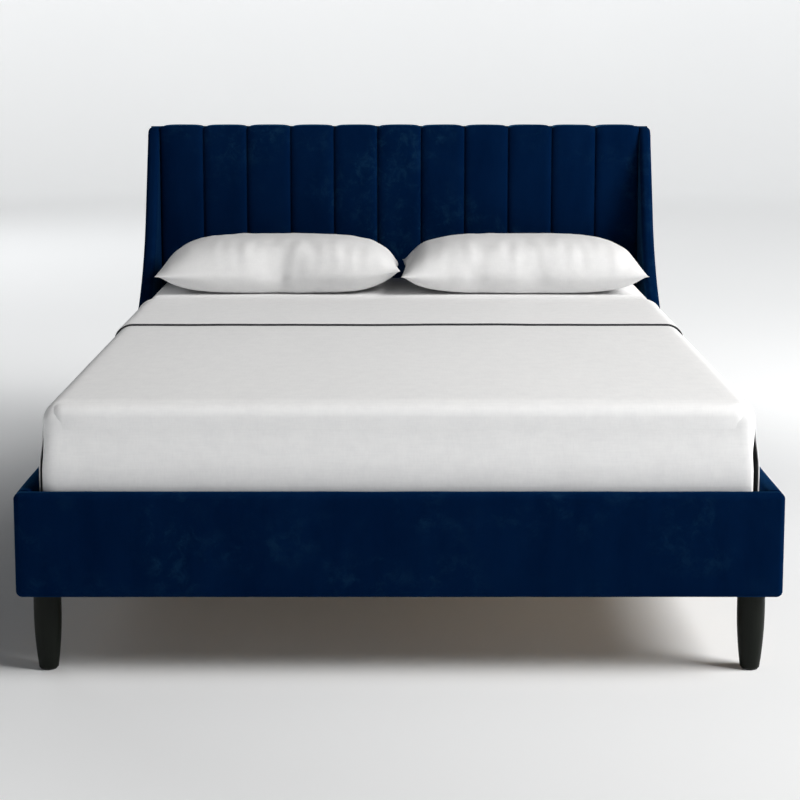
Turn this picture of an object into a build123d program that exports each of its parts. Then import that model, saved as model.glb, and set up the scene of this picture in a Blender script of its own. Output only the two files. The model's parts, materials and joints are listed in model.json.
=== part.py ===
from build123d import *
from math import cos, radians, sin, tan
import os

# An upholstered platform bed for a 1524 x 2032 mm mattress, made up with its bedding.
# Millimetres. +Z is up, +Y runs from the foot to the headboard, +X is right as seen from the foot.
# The origin is on the floor, at the middle of the bed's width and length.

# ---- Overall size ----
WIDTH = 1650.0
LENGTH = 2185.0
HEIGHT = 1085.0
OUTER_X = WIDTH / 2
FOOT_Y = -LENGTH / 2
BACK_Y = LENGTH / 2

# ---- Side rails and footboard: a timber core in a padded cover ----
RAIL_BOTTOM_Z = 174.0
RAIL_HEIGHT = 230.0
RAIL_TOP_Z = RAIL_BOTTOM_Z + RAIL_HEIGHT
RAIL_THICKNESS = 35.0
RAIL_PADDING = 6.5
RAIL_EDGE_RADIUS = 14.0
RAIL_INNER_X = OUTER_X - RAIL_THICKNESS
RAIL_CORE_X = RAIL_INNER_X + RAIL_PADDING
RAIL_CORE_THICKNESS = RAIL_THICKNESS - 2 * RAIL_PADDING
FOOTBOARD_BACK_Y = FOOT_Y + RAIL_THICKNESS
FOOTBOARD_CORE_Y = FOOTBOARD_BACK_Y - RAIL_PADDING
# the covers stop short of this strip of the inner faces, where the battens meet the cores
BARE_STRIP_BOTTOM_Z = 205.0
BARE_STRIP_TOP_Z = 345.0

# ---- Headboard, in layers from the front to the back ----
PAD_THICKNESS = 40.0
PAD_CROWN = 12.0
PAD_BOTTOM_Z = 320.0
PAD_GAP = 0.6
PAD_EDGE_RADIUS = 8.0
CHANNELS = 11
PANEL_THICKNESS = 12.0
FRAME_TOP_Z = HEIGHT - 10.0
FRAME_THICKNESS = 30.0
FRAME_BAR = 60.0
BACK_COVER_THICKNESS = 3.0
FRAME_BACK_Y = BACK_Y - BACK_COVER_THICKNESS
FRAME_FRONT_Y = FRAME_BACK_Y - FRAME_THICKNESS
PANEL_FRONT_Y = FRAME_FRONT_Y - PANEL_THICKNESS
HEADBOARD_FRONT_Y = PANEL_FRONT_Y - PAD_THICKNESS
HEADBOARD_BASE_Z = 177.0

# ---- Wings: a straight leaning front edge that sweeps down into the side rail ----
WING_THICKNESS = 37.0
WING_TOP_Z = 1079.0
WING_PADDING = 9.5
WING_CORE_THICKNESS = WING_THICKNESS - 2 * WING_PADDING
WING_INNER_X = OUTER_X - WING_THICKNESS
WING_CORE_X = WING_INNER_X + WING_PADDING
WING_LEAN = 18.8
WING_SWEEP_RADIUS = 585.0
WING_CORNER_RADIUS = 24.0
WING_EDGE_RADIUS = 15.0
WING_TOP_FRONT_Y = HEADBOARD_FRONT_Y + 2.0
SWEEP_TOP_Z = RAIL_TOP_Z + WING_SWEEP_RADIUS * (1 - sin(radians(WING_LEAN)))
SWEEP_TOP_Y = WING_TOP_FRONT_Y - (WING_TOP_Z - SWEEP_TOP_Z) * tan(radians(WING_LEAN))
WING_TOE_Y = SWEEP_TOP_Y - WING_SWEEP_RADIUS * cos(radians(WING_LEAN))

# ---- Feet at the four corners ----
FOOT_INSET = 58.0
FOOT_TOP_RADIUS = 30.0
FOOT_BOTTOM_RADIUS = 21.0
FOOT_STRAIGHT = 40.0
GLIDE_RADIUS = 18.0
GLIDE_THICKNESS = 4.0
PLATE_SIDE = 42.0
PLATE_THICKNESS = 3.0
HANGER_RADIUS = 4.0
HANGER_REACH = 38.0
FOOT_X = OUTER_X - FOOT_INSET
FOOT_CENTRES = {
    "front_left": (-FOOT_X, FOOT_Y + FOOT_INSET),
    "front_right": (FOOT_X, FOOT_Y + FOOT_INSET),
    "rear_left": (-FOOT_X, BACK_Y - FOOT_INSET),
    "rear_right": (FOOT_X, BACK_Y - FOOT_INSET),
}

# ---- Corner blocks and bolts ----
BLOCK_LENGTH = 80.0
BLOCK_INNER_X = WING_INNER_X - 78.0
BLOCK_OUTER_X = {"front": RAIL_INNER_X, "rear": WING_INNER_X}
BLOCK_CENTRE_Y = {
    "front": FOOTBOARD_BACK_Y + BLOCK_LENGTH / 2,
    "rear": PANEL_FRONT_Y - BLOCK_LENGTH / 2,
}
BLOCK_BOTTOM_Z = RAIL_BOTTOM_Z + PLATE_THICKNESS
BLOCK_TOP_Z = 262.0
BOLT_RADIUS = 4.0
BOLT_HEAD_RADIUS = 8.0
BOLT_HEAD = 6.0
SIDE_BOLT_Z = 220.0
SIDE_BOLT_Y = {
    "front": BLOCK_CENTRE_Y["front"] + BLOCK_LENGTH / 4,
    "rear": BLOCK_CENTRE_Y["rear"] - BLOCK_LENGTH / 4,
}
SIDE_BOLT_TIP_X = OUTER_X - 13.0
END_BOLT_Z = 244.0
END_BOLT_X = WING_INNER_X - 55.0
END_BOLT_BITE = 18.0
END_BOLT_TIP_Y = {"front": FOOTBOARD_CORE_Y - END_BOLT_BITE, "rear": FRAME_FRONT_Y + END_BOLT_BITE}
WING_BOLT_HEIGHTS = (330.0, 640.0, 950.0)
WING_BOLT_Y = FRAME_FRONT_Y + FRAME_THICKNESS / 2
WING_BOLT_TIP_X = 742.0
WING_BOLT_SHOULDER_X = OUTER_X - WING_PADDING - BOLT_HEAD

# ---- Slat base ----
SLAT_COUNT = 14
SLAT_WIDTH = 70.0
SLAT_PITCH = 150.0
SLAT_THICKNESS = 18.0
SLAT_BOTTOM_Z = 313.0
SLAT_TOP_Z = SLAT_BOTTOM_Z + SLAT_THICKNESS
SLAT_LENGTH = 2 * (WING_INNER_X - 3.0)
STRAP_WIDTH = 25.0
STRAP_THICKNESS = 1.2
STRAP_X = 400.0
STRAP_OVERHANG = 20.0
CLEAT_WIDTH = 40.0
CLEAT_HEIGHT = 40.0
BEAM_HEIGHT = 70.0
BEAM_WIDTH = 40.0
BEAM_BOTTOM_Z = SLAT_BOTTOM_Z - BEAM_HEIGHT
BATTEN_THICKNESS = 35.0
FOOT_BATTEN_Y = FOOTBOARD_CORE_Y + BATTEN_THICKNESS
HEAD_BATTEN_Y = PANEL_FRONT_Y - BATTEN_THICKNESS
HANGER_SHEET = 2.0
HANGER_DEPTH = 40.0

# ---- Centre legs with screw levelling feet ----
CENTRE_LEG_Y = {"front": -340.0, "rear": 340.0}
TUBE_RADIUS = 16.0
TUBE_WALL = 2.0
TUBE_BOTTOM_Z = 36.0
FLANGE_SIDE = 64.0
FLANGE_THICKNESS = 4.0
PLUG_THICKNESS = 12.0
SCREW_RADIUS = 4.0
SCREW_TOP_Z = 66.0
SCREW_CLEARANCE = 0.05
HEX_RADIUS = 7.5
HEX_BOTTOM_Z = 10.0
HEX_TOP_Z = 16.0
SWIVEL_RADIUS = 6.0
SWIVEL_FLOOR_Z = 3.0
LEVEL_PAD_RADIUS = 20.0
LEVEL_PAD_THICKNESS = 8.0
LEVEL_PAD_EDGE_RADIUS = 2.0
END_PLAY = 0.3

# ---- Mattress and bedding ----
MATTRESS_WIDTH = 1524.0
MATTRESS_LENGTH = 2032.0
MATTRESS_HEIGHT = 254.0
MATTRESS_BOTTOM_Z = SLAT_TOP_Z + 0.3
MATTRESS_TOP_Z = MATTRESS_BOTTOM_Z + MATTRESS_HEIGHT
MATTRESS_FOOT_Y = FOOTBOARD_BACK_Y + 14.5
MATTRESS_HEAD_Y = MATTRESS_FOOT_Y + MATTRESS_LENGTH
MATTRESS_CORNER_RADIUS = 40.0
MATTRESS_EDGE_RADIUS = 25.0
SHEET_THICKNESS = 1.5
COVERLET_HALF_WIDTH = 783.0
COVERLET_FOOT_Y = FOOTBOARD_BACK_Y + 4.0
COVERLET_HEAD_Y = 415.0
COVERLET_BOTTOM_Z = 345.0
COVERLET_THICKNESS = 5.0
COVERLET_SHOULDER = 45.0
COVERLET_CORNER_RADIUS = 50.0
TURN_DOWN_FOOT_Y = -30.0
TURN_DOWN_BOTTOM_Z = 430.0
TURN_DOWN_NOSE = 3.5

# ---- Pillows ----
PILLOW_WIDTH = 765.0
PILLOW_DEPTH = 450.0
PILLOW_RISE = 105.0
PILLOW_SINK = 60.0
PILLOW_CENTRE_X = 385.0
PILLOW_CENTRE_Y = 760.0
PILLOW_SEAM_Z = MATTRESS_TOP_Z + SHEET_THICKNESS + 0.3 + PILLOW_SINK
CASE_THICKNESS = 3.0

SIDES = {"left": -1, "right": 1}


def save(piece, name):
    """Label a finished piece and write it as its own STEP file."""
    piece.part.label = name
    export_step(piece.part, f"parts/{name}.step")


def block(x_range, y_range, z_range, mode=Mode.ADD):
    """A box given by its lowest and highest coordinate along each axis."""
    spans = (sorted(x_range), sorted(y_range), sorted(z_range))
    centre = tuple((low + high) / 2 for low, high in spans)
    size = [high - low for low, high in spans]
    with Locations(centre):
        Box(*size, mode=mode)


def rod(start, end, radius, mode=Mode.ADD):
    """A round rod between two points, which cuts a matching hole with Mode.SUBTRACT."""
    axis = Vector(*end) - Vector(*start)
    with Locations(Plane(origin=start, z_dir=axis)):
        Cylinder(radius, axis.length, align=(Align.CENTER, Align.CENTER, Align.MIN), mode=mode)


def draw_rail_section(sign):
    """The padded outline of a side rail, seen along its length."""
    with Locations((sign * (OUTER_X - RAIL_THICKNESS / 2), RAIL_BOTTOM_Z + RAIL_HEIGHT / 2)):
        RectangleRounded(RAIL_THICKNESS, RAIL_HEIGHT, RAIL_EDGE_RADIUS)


def draw_wing_profile(profile, back_y, inset=0.0):
    """The side view of a wing in (Y, Z), drawn in by an inset all round."""
    lean = radians(WING_LEAN)
    with BuildLine() as outline:
        Polyline(
            (WING_TOE_Y, RAIL_TOP_Z),
            (WING_TOE_Y, RAIL_BOTTOM_Z),
            (back_y, RAIL_BOTTOM_Z),
            (back_y, WING_TOP_Z),
            (WING_TOP_FRONT_Y, WING_TOP_Z),
            (SWEEP_TOP_Y, SWEEP_TOP_Z),
        )
        TangentArc(
            (SWEEP_TOP_Y, SWEEP_TOP_Z),
            (WING_TOE_Y, RAIL_TOP_Z),
            tangent=(-sin(lean), -cos(lean)),
        )
    make_face(outline.edges())
    top_front = profile.vertices().group_by(Axis.Y)[-1].sort_by(Axis.X)[0]
    fillet(top_front, WING_CORNER_RADIUS)
    if inset:
        offset(amount=-inset, mode=Mode.REPLACE)


# ================= Headboard =================


def make_channel_pads():
    """Upright foam strips with a crowned front, each wrapped back over the top of the frame."""
    pitch = 2 * WING_INNER_X / CHANNELS
    half = (pitch - PAD_GAP) / 2
    edge_y = HEADBOARD_FRONT_Y + PAD_CROWN
    for number in range(CHANNELS):
        x = (number - (CHANNELS - 1) / 2) * pitch
        with BuildPart() as pad:
            with BuildSketch(Plane.XY.offset(PAD_BOTTOM_Z)):
                with BuildLine():
                    ThreePointArc((x - half, edge_y), (x, HEADBOARD_FRONT_Y), (x + half, edge_y))
                    Polyline(
                        (x + half, edge_y),
                        (x + half, PANEL_FRONT_Y),
                        (x - half, PANEL_FRONT_Y),
                        (x - half, edge_y),
                    )
                make_face()
            extrude(amount=HEIGHT - PAD_BOTTOM_Z)
            block((x - half, x + half), (PANEL_FRONT_Y, FRAME_BACK_Y), (FRAME_TOP_Z, HEIGHT))
            fillet(pad.faces().sort_by(Axis.Z)[-1].edges(), PAD_EDGE_RADIUS)
        save(pad, f"channel_pad_{number + 1:02d}")


def make_headboard_panel():
    """The plywood face that the channel pads are stapled to."""
    with BuildPart() as panel:
        block(
            (-WING_INNER_X, WING_INNER_X),
            (PANEL_FRONT_Y, FRAME_FRONT_Y),
            (HEADBOARD_BASE_Z, FRAME_TOP_Z),
        )
        for sign in SIDES.values():
            cut_end_bolt(sign, PANEL_FRONT_Y, FRAME_FRONT_Y)
    save(panel, "headboard_panel")


def make_headboard_frame():
    """Two posts and three cross rails behind the face panel."""
    post_inner_x = WING_INNER_X - FRAME_BAR
    for side, sign in SIDES.items():
        with BuildPart() as post:
            block(
                (sign * post_inner_x, sign * WING_INNER_X),
                (FRAME_FRONT_Y, FRAME_BACK_Y),
                (HEADBOARD_BASE_Z, FRAME_TOP_Z),
            )
            cut_wing_bolts(sign)
            cut_end_bolt(sign, FRAME_FRONT_Y, FRAME_FRONT_Y + END_BOLT_BITE)
        save(post, f"headboard_post_{side}")
    bottoms = {
        "top": FRAME_TOP_Z - FRAME_BAR,
        "middle": (FRAME_TOP_Z + HEADBOARD_BASE_Z - FRAME_BAR) / 2,
        "lower": HEADBOARD_BASE_Z,
    }
    for place, bottom_z in bottoms.items():
        with BuildPart() as rail:
            block(
                (-post_inner_x, post_inner_x),
                (FRAME_FRONT_Y, FRAME_BACK_Y),
                (bottom_z, bottom_z + FRAME_BAR),
            )
        save(rail, f"headboard_{place}_rail")


def make_headboard_back():
    """The covered board that closes the back of the headboard and the wings."""
    with BuildPart() as back:
        block((-OUTER_X, OUTER_X), (FRAME_BACK_Y, BACK_Y), (RAIL_BOTTOM_Z, WING_TOP_Z))
    save(back, "headboard_back_cover")


# ================= Wings =================


def cut_wing_bolts(sign):
    """The holes that the three bolts of one wing run through."""
    for z in WING_BOLT_HEIGHTS:
        tip = (sign * WING_BOLT_TIP_X, WING_BOLT_Y, z)
        shoulder = (sign * WING_BOLT_SHOULDER_X, WING_BOLT_Y, z)
        rod(tip, shoulder, BOLT_RADIUS, Mode.SUBTRACT)


def cut_side_bolt(sign, end, from_x, to_x):
    """The hole of the corner bolt that runs out sideways through X."""
    y = SIDE_BOLT_Y[end]
    rod((sign * from_x, y, SIDE_BOLT_Z), (sign * to_x, y, SIDE_BOLT_Z), BOLT_RADIUS, Mode.SUBTRACT)


def cut_end_bolt(sign, from_y, to_y):
    """The hole of the corner bolt that runs along the bed through Y."""
    x = sign * END_BOLT_X
    rod((x, from_y, END_BOLT_Z), (x, to_y, END_BOLT_Z), BOLT_RADIUS, Mode.SUBTRACT)


def make_wings():
    """Each wing is a shaped plywood core inside a padded cover that is open at the back."""
    for side, sign in SIDES.items():
        with BuildPart() as core:
            with BuildSketch(Plane.YZ.offset(sign * WING_CORE_X)) as profile:
                draw_wing_profile(profile, FRAME_BACK_Y + WING_PADDING, WING_PADDING)
            extrude(amount=sign * WING_CORE_THICKNESS)
        with BuildPart() as cover:
            with BuildSketch(Plane.YZ.offset(sign * WING_INNER_X)) as profile:
                draw_wing_profile(profile, FRAME_BACK_Y)
            extrude(amount=sign * WING_THICKNESS)
            rim = cover.faces().filter_by(Axis.X).edges()
            soft = [e for e in rim if WING_TOE_Y + 1 < e.center().Y < FRAME_BACK_Y - 1]
            fillet(soft, WING_EDGE_RADIUS)
            add(core.part, mode=Mode.SUBTRACT)
            cut_wing_bolts(sign)
            cut_side_bolt(sign, "rear", WING_INNER_X, WING_CORE_X)
        with BuildPart() as bored_core:
            add(core.part)
            cut_wing_bolts(sign)
            cut_side_bolt(sign, "rear", WING_CORE_X, SIDE_BOLT_TIP_X)
            for z in WING_BOLT_HEIGHTS:
                shoulder = (sign * WING_BOLT_SHOULDER_X, WING_BOLT_Y, z)
                head = (sign * (WING_BOLT_SHOULDER_X + BOLT_HEAD), WING_BOLT_Y, z)
                rod(shoulder, head, BOLT_HEAD_RADIUS, Mode.SUBTRACT)
        save(bored_core, f"wing_core_{side}")
        save(cover, f"wing_cover_{side}")


def make_wing_bolts():
    """Three bolts through each wing core into the headboard post, heads sunk in the core."""
    with BuildPart() as bolts:
        for sign in SIDES.values():
            for z in WING_BOLT_HEIGHTS:
                tip = (sign * WING_BOLT_TIP_X, WING_BOLT_Y, z)
                shoulder = (sign * WING_BOLT_SHOULDER_X, WING_BOLT_Y, z)
                head = (sign * (WING_BOLT_SHOULDER_X + BOLT_HEAD), WING_BOLT_Y, z)
                rod(tip, shoulder, BOLT_RADIUS)
                rod(shoulder, head, BOLT_HEAD_RADIUS)
    save(bolts, "wing_bolts")


# ================= Side rails and footboard =================


def make_side_rails():
    """Each side rail is a board in a padded cover that is stapled round its inner face."""
    for side, sign in SIDES.items():
        with BuildPart() as core:
            block(
                (sign * RAIL_CORE_X, sign * (RAIL_CORE_X + RAIL_CORE_THICKNESS)),
                (FOOTBOARD_BACK_Y, WING_TOE_Y),
                (RAIL_BOTTOM_Z + RAIL_PADDING, RAIL_TOP_Z - RAIL_PADDING),
            )
        with BuildPart() as cover:
            with BuildSketch(Plane.XZ.offset(-FOOTBOARD_BACK_Y)):
                draw_rail_section(sign)
            extrude(amount=-(WING_TOE_Y - FOOTBOARD_BACK_Y))
            add(core.part, mode=Mode.SUBTRACT)
            block(
                (sign * RAIL_INNER_X, sign * RAIL_CORE_X),
                (FOOTBOARD_BACK_Y, WING_TOE_Y),
                (BARE_STRIP_BOTTOM_Z, BARE_STRIP_TOP_Z),
                Mode.SUBTRACT,
            )
        with BuildPart() as bored_core:
            add(core.part)
            cut_side_bolt(sign, "front", RAIL_CORE_X, SIDE_BOLT_TIP_X)
        save(bored_core, f"side_rail_core_{side}")
        save(cover, f"side_rail_cover_{side}")


def make_footboard():
    """The footboard spans the full width, a board in a padded cover like the rails'."""
    core_x = OUTER_X - RAIL_PADDING
    with BuildPart() as core:
        block(
            (-core_x, core_x),
            (FOOT_Y + RAIL_PADDING, FOOTBOARD_CORE_Y),
            (RAIL_BOTTOM_Z + RAIL_PADDING, RAIL_TOP_Z - RAIL_PADDING),
        )
    with BuildPart() as cover:
        block((-OUTER_X, OUTER_X), (FOOT_Y, FOOTBOARD_BACK_Y), (RAIL_BOTTOM_Z, RAIL_TOP_Z))
        fillet(cover.edges(), RAIL_EDGE_RADIUS)
        add(core.part, mode=Mode.SUBTRACT)
        block(
            (-RAIL_INNER_X, RAIL_INNER_X),
            (FOOTBOARD_CORE_Y, FOOTBOARD_BACK_Y),
            (BARE_STRIP_BOTTOM_Z, BARE_STRIP_TOP_Z),
            Mode.SUBTRACT,
        )
    with BuildPart() as bored_core:
        add(core.part)
        for sign in SIDES.values():
            cut_end_bolt(sign, FOOTBOARD_CORE_Y, FOOTBOARD_CORE_Y - END_BOLT_BITE)
    save(bored_core, "footboard_core")
    save(cover, "footboard_cover")


# ================= Corners and feet =================


def split_place(place):
    """The end of the bed and the sign of X that a corner's name stands for."""
    end, side = place.split("_")
    return end, SIDES[side]


def make_corner_blocks():
    """A hardwood block in each inside corner takes the foot's bolt and the corner's two bolts."""
    with BuildPart() as corner_blocks:
        for place, (foot_x, foot_y) in FOOT_CENTRES.items():
            end, sign = split_place(place)
            y = BLOCK_CENTRE_Y[end]
            block(
                (sign * BLOCK_INNER_X, sign * BLOCK_OUTER_X[end]),
                (y - BLOCK_LENGTH / 2, y + BLOCK_LENGTH / 2),
                (BLOCK_BOTTOM_Z, BLOCK_TOP_Z),
            )
            hanger_bottom = (foot_x, foot_y, BLOCK_BOTTOM_Z)
            hanger_top = (foot_x, foot_y, BLOCK_BOTTOM_Z + HANGER_REACH)
            rod(hanger_bottom, hanger_top, HANGER_RADIUS, Mode.SUBTRACT)
            cut_side_bolt(sign, end, BLOCK_INNER_X, BLOCK_OUTER_X[end])
            cut_end_bolt(sign, y - BLOCK_LENGTH / 2, y + BLOCK_LENGTH / 2)
    save(corner_blocks, "corner_blocks")


def make_corner_bolts():
    """Two bolts in each corner: one out into the side, one along into the end."""
    with BuildPart() as bolts:
        for place in FOOT_CENTRES:
            end, sign = split_place(place)
            inward = 1 if end == "front" else -1
            side_shoulder = (sign * BLOCK_INNER_X, SIDE_BOLT_Y[end], SIDE_BOLT_Z)
            side_tip = (sign * SIDE_BOLT_TIP_X, SIDE_BOLT_Y[end], SIDE_BOLT_Z)
            side_head = (sign * (BLOCK_INNER_X - BOLT_HEAD), SIDE_BOLT_Y[end], SIDE_BOLT_Z)
            rod(side_shoulder, side_tip, BOLT_RADIUS)
            rod(side_head, side_shoulder, BOLT_HEAD_RADIUS)
            shoulder_y = BLOCK_CENTRE_Y[end] + inward * BLOCK_LENGTH / 2
            end_shoulder = (sign * END_BOLT_X, shoulder_y, END_BOLT_Z)
            end_tip = (sign * END_BOLT_X, END_BOLT_TIP_Y[end], END_BOLT_Z)
            end_head = (sign * END_BOLT_X, shoulder_y + inward * BOLT_HEAD, END_BOLT_Z)
            rod(end_shoulder, end_tip, BOLT_RADIUS)
            rod(end_head, end_shoulder, BOLT_HEAD_RADIUS)
    save(bolts, "corner_bolts")


def make_feet():
    """Tapered round wooden feet: straight at the top, then a slow convex taper."""
    taper_top_z = RAIL_BOTTOM_Z - FOOT_STRAIGHT
    for place, (x, y) in FOOT_CENTRES.items():
        with BuildPart() as foot:
            with BuildSketch(Plane.XZ.offset(-y)):
                with BuildLine():
                    Line((x, GLIDE_THICKNESS), (x + FOOT_BOTTOM_RADIUS, GLIDE_THICKNESS))
                    TangentArc(
                        (x + FOOT_TOP_RADIUS, taper_top_z),
                        (x + FOOT_BOTTOM_RADIUS, GLIDE_THICKNESS),
                        tangent=(0, -1),
                    )
                    Polyline(
                        (x + FOOT_TOP_RADIUS, taper_top_z),
                        (x + FOOT_TOP_RADIUS, RAIL_BOTTOM_Z),
                        (x, RAIL_BOTTOM_Z),
                        (x, GLIDE_THICKNESS),
                    )
                make_face()
            revolve(axis=Axis((x, y, 0), (0, 0, 1)))
            hanger_bottom = (x, y, RAIL_BOTTOM_Z - HANGER_REACH)
            rod(hanger_bottom, (x, y, RAIL_BOTTOM_Z), HANGER_RADIUS, Mode.SUBTRACT)
        save(foot, f"foot_{place}")


def make_foot_hardware():
    """A steel plate under each corner block, a hanger bolt through it, a glide under the foot."""
    half = PLATE_SIDE / 2
    with BuildPart() as plates:
        for x, y in FOOT_CENTRES.values():
            block((x - half, x + half), (y - half, y + half), (RAIL_BOTTOM_Z, BLOCK_BOTTOM_Z))
            rod((x, y, RAIL_BOTTOM_Z), (x, y, BLOCK_BOTTOM_Z), HANGER_RADIUS, Mode.SUBTRACT)
    save(plates, "foot_plates")
    with BuildPart() as hangers:
        for x, y in FOOT_CENTRES.values():
            bottom = RAIL_BOTTOM_Z - HANGER_REACH
            top = BLOCK_BOTTOM_Z + HANGER_REACH
            rod((x, y, bottom), (x, y, top), HANGER_RADIUS)
    save(hangers, "hanger_bolts")
    with BuildPart() as glides:
        for x, y in FOOT_CENTRES.values():
            rod((x, y, 0), (x, y, GLIDE_THICKNESS), GLIDE_RADIUS)
    save(glides, "foot_glides")


# ================= Slat base =================


def make_cleats():
    """A batten along each side that the slats lie on, notched round the thicker wings."""
    inner_x = RAIL_CORE_X - CLEAT_WIDTH
    for side, sign in SIDES.items():
        with BuildPart() as cleat:
            for outer_x, y_range in (
                (RAIL_CORE_X, (FOOTBOARD_BACK_Y, WING_TOE_Y)),
                (WING_INNER_X, (WING_TOE_Y, PANEL_FRONT_Y)),
            ):
                block(
                    (sign * inner_x, sign * outer_x),
                    y_range,
                    (SLAT_BOTTOM_Z - CLEAT_HEIGHT, SLAT_BOTTOM_Z),
                )
        save(cleat, f"slat_cleat_{side}")


def make_end_battens():
    """A batten across the foot and one across the head carry the ends of the centre beam."""
    reach = RAIL_CORE_X - CLEAT_WIDTH
    y_ranges = {
        "foot": (FOOTBOARD_CORE_Y, FOOT_BATTEN_Y),
        "head": (HEAD_BATTEN_Y, PANEL_FRONT_Y),
    }
    for end, y_range in y_ranges.items():
        with BuildPart() as batten:
            block((-reach, reach), y_range, (BLOCK_TOP_Z, SLAT_BOTTOM_Z))
        save(batten, f"{end}_batten")


def make_centre_beam():
    """The beam under the middle of the slats, in a folded steel hanger at each end."""
    half = BEAM_WIDTH / 2
    outer = half + HANGER_SHEET
    with BuildPart() as beam:
        block(
            (-half, half),
            (FOOT_BATTEN_Y + HANGER_SHEET, HEAD_BATTEN_Y - HANGER_SHEET),
            (BEAM_BOTTOM_Z, SLAT_BOTTOM_Z),
        )
    save(beam, "centre_beam")
    with BuildPart() as hangers:
        for wall_y, inward in ((FOOT_BATTEN_Y, 1), (HEAD_BATTEN_Y, -1)):
            mouth_y = wall_y + inward * HANGER_DEPTH
            block((-outer, outer), (wall_y, mouth_y), (BEAM_BOTTOM_Z - HANGER_SHEET, SLAT_BOTTOM_Z))
            block(
                (-half, half),
                (wall_y + inward * HANGER_SHEET, mouth_y),
                (BEAM_BOTTOM_Z, SLAT_BOTTOM_Z),
                Mode.SUBTRACT,
            )
    save(hangers, "beam_hangers")


def make_slats():
    """Loose slats across the cleats, stapled to two webbing straps that set their spacing."""
    middle_y = (MATTRESS_FOOT_Y + MATTRESS_HEAD_Y) / 2
    with BuildPart() as slats:
        with Locations((0, middle_y, SLAT_BOTTOM_Z + SLAT_THICKNESS / 2)):
            with GridLocations(1, SLAT_PITCH, 1, SLAT_COUNT):
                Box(SLAT_LENGTH, SLAT_WIDTH, SLAT_THICKNESS)
    save(slats, "slats")
    # each strap ends a little short of the outer slats' far edges
    reach = (SLAT_COUNT - 1) * SLAT_PITCH / 2 + STRAP_OVERHANG
    with BuildPart() as straps:
        for sign in SIDES.values():
            x = sign * STRAP_X
            block(
                (x - STRAP_WIDTH / 2, x + STRAP_WIDTH / 2),
                (middle_y - reach, middle_y + reach),
                (SLAT_BOTTOM_Z - STRAP_THICKNESS, SLAT_BOTTOM_Z),
            )
    save(straps, "slat_straps")


# ================= Centre legs =================


def make_centre_legs():
    """A flanged steel tube under the beam, closed at the bottom by a threaded plug."""
    half = FLANGE_SIDE / 2
    flange_bottom_z = BEAM_BOTTOM_Z - FLANGE_THICKNESS
    plug_top_z = TUBE_BOTTOM_Z + PLUG_THICKNESS
    for end, y in CENTRE_LEG_Y.items():
        with BuildPart() as leg:
            block((-half, half), (y - half, y + half), (flange_bottom_z, BEAM_BOTTOM_Z))
            rod((0, y, TUBE_BOTTOM_Z), (0, y, flange_bottom_z), TUBE_RADIUS)
            rod((0, y, plug_top_z), (0, y, flange_bottom_z), TUBE_RADIUS - TUBE_WALL, Mode.SUBTRACT)
            bore = SCREW_RADIUS + SCREW_CLEARANCE
            rod((0, y, TUBE_BOTTOM_Z), (0, y, plug_top_z), bore, Mode.SUBTRACT)
        save(leg, f"centre_leg_{end}")


def make_levelling_feet():
    """Under each centre leg a screw turns in a swivel pad that stays still on the floor."""
    for end, y in CENTRE_LEG_Y.items():
        with BuildPart() as screw:
            rod((0, y, SWIVEL_FLOOR_Z + END_PLAY), (0, y, HEX_BOTTOM_Z), SWIVEL_RADIUS - END_PLAY)
            with BuildSketch(Plane.XY.offset(HEX_BOTTOM_Z)):
                with Locations((0, y)):
                    RegularPolygon(HEX_RADIUS, 6)
            extrude(amount=HEX_TOP_Z - HEX_BOTTOM_Z)
            rod((0, y, HEX_TOP_Z), (0, y, SCREW_TOP_Z), SCREW_RADIUS)
        save(screw, f"levelling_screw_{end}")
        with BuildPart() as pad:
            rod((0, y, 0), (0, y, LEVEL_PAD_THICKNESS), LEVEL_PAD_RADIUS)
            rod((0, y, SWIVEL_FLOOR_Z), (0, y, LEVEL_PAD_THICKNESS), SWIVEL_RADIUS, Mode.SUBTRACT)
            rim = pad.edges().group_by(Axis.Z)[-1].sort_by(SortBy.LENGTH)[-1]
            fillet(rim, LEVEL_PAD_EDGE_RADIUS)
        save(pad, f"levelling_pad_{end}")


# ================= Mattress and bedding =================


def mattress_shape(cloth):
    """The mattress, grown on its top and sides by the thickness of a cloth over it."""
    with BuildPart() as shape:
        with BuildSketch(Plane.XY.offset(MATTRESS_BOTTOM_Z)):
            with Locations((0, (MATTRESS_FOOT_Y + MATTRESS_HEAD_Y) / 2)):
                RectangleRounded(
                    MATTRESS_WIDTH + 2 * cloth,
                    MATTRESS_LENGTH + 2 * cloth,
                    MATTRESS_CORNER_RADIUS + cloth,
                )
        extrude(amount=MATTRESS_HEIGHT + cloth)
        fillet(shape.faces().sort_by(Axis.Z)[-1].edges(), MATTRESS_EDGE_RADIUS + cloth)
    return shape.part


def coverlet_shape():
    """The coverlet's outside, filled in: round shoulders, cut off square at the head end."""
    top_z = MATTRESS_TOP_Z + SHEET_THICKNESS + COVERLET_THICKNESS
    with BuildPart() as shape:
        with BuildSketch(Plane.XY.offset(COVERLET_BOTTOM_Z)):
            with Locations((0, COVERLET_FOOT_Y + MATTRESS_LENGTH / 2)):
                RectangleRounded(2 * COVERLET_HALF_WIDTH, MATTRESS_LENGTH, COVERLET_CORNER_RADIUS)
        extrude(amount=top_z - COVERLET_BOTTOM_Z)
        fillet(shape.faces().sort_by(Axis.Z)[-1].edges(), COVERLET_SHOULDER)
        split(bisect_by=Plane.XZ.offset(-COVERLET_HEAD_Y), keep=Keep.TOP)
    return shape.part


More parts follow.
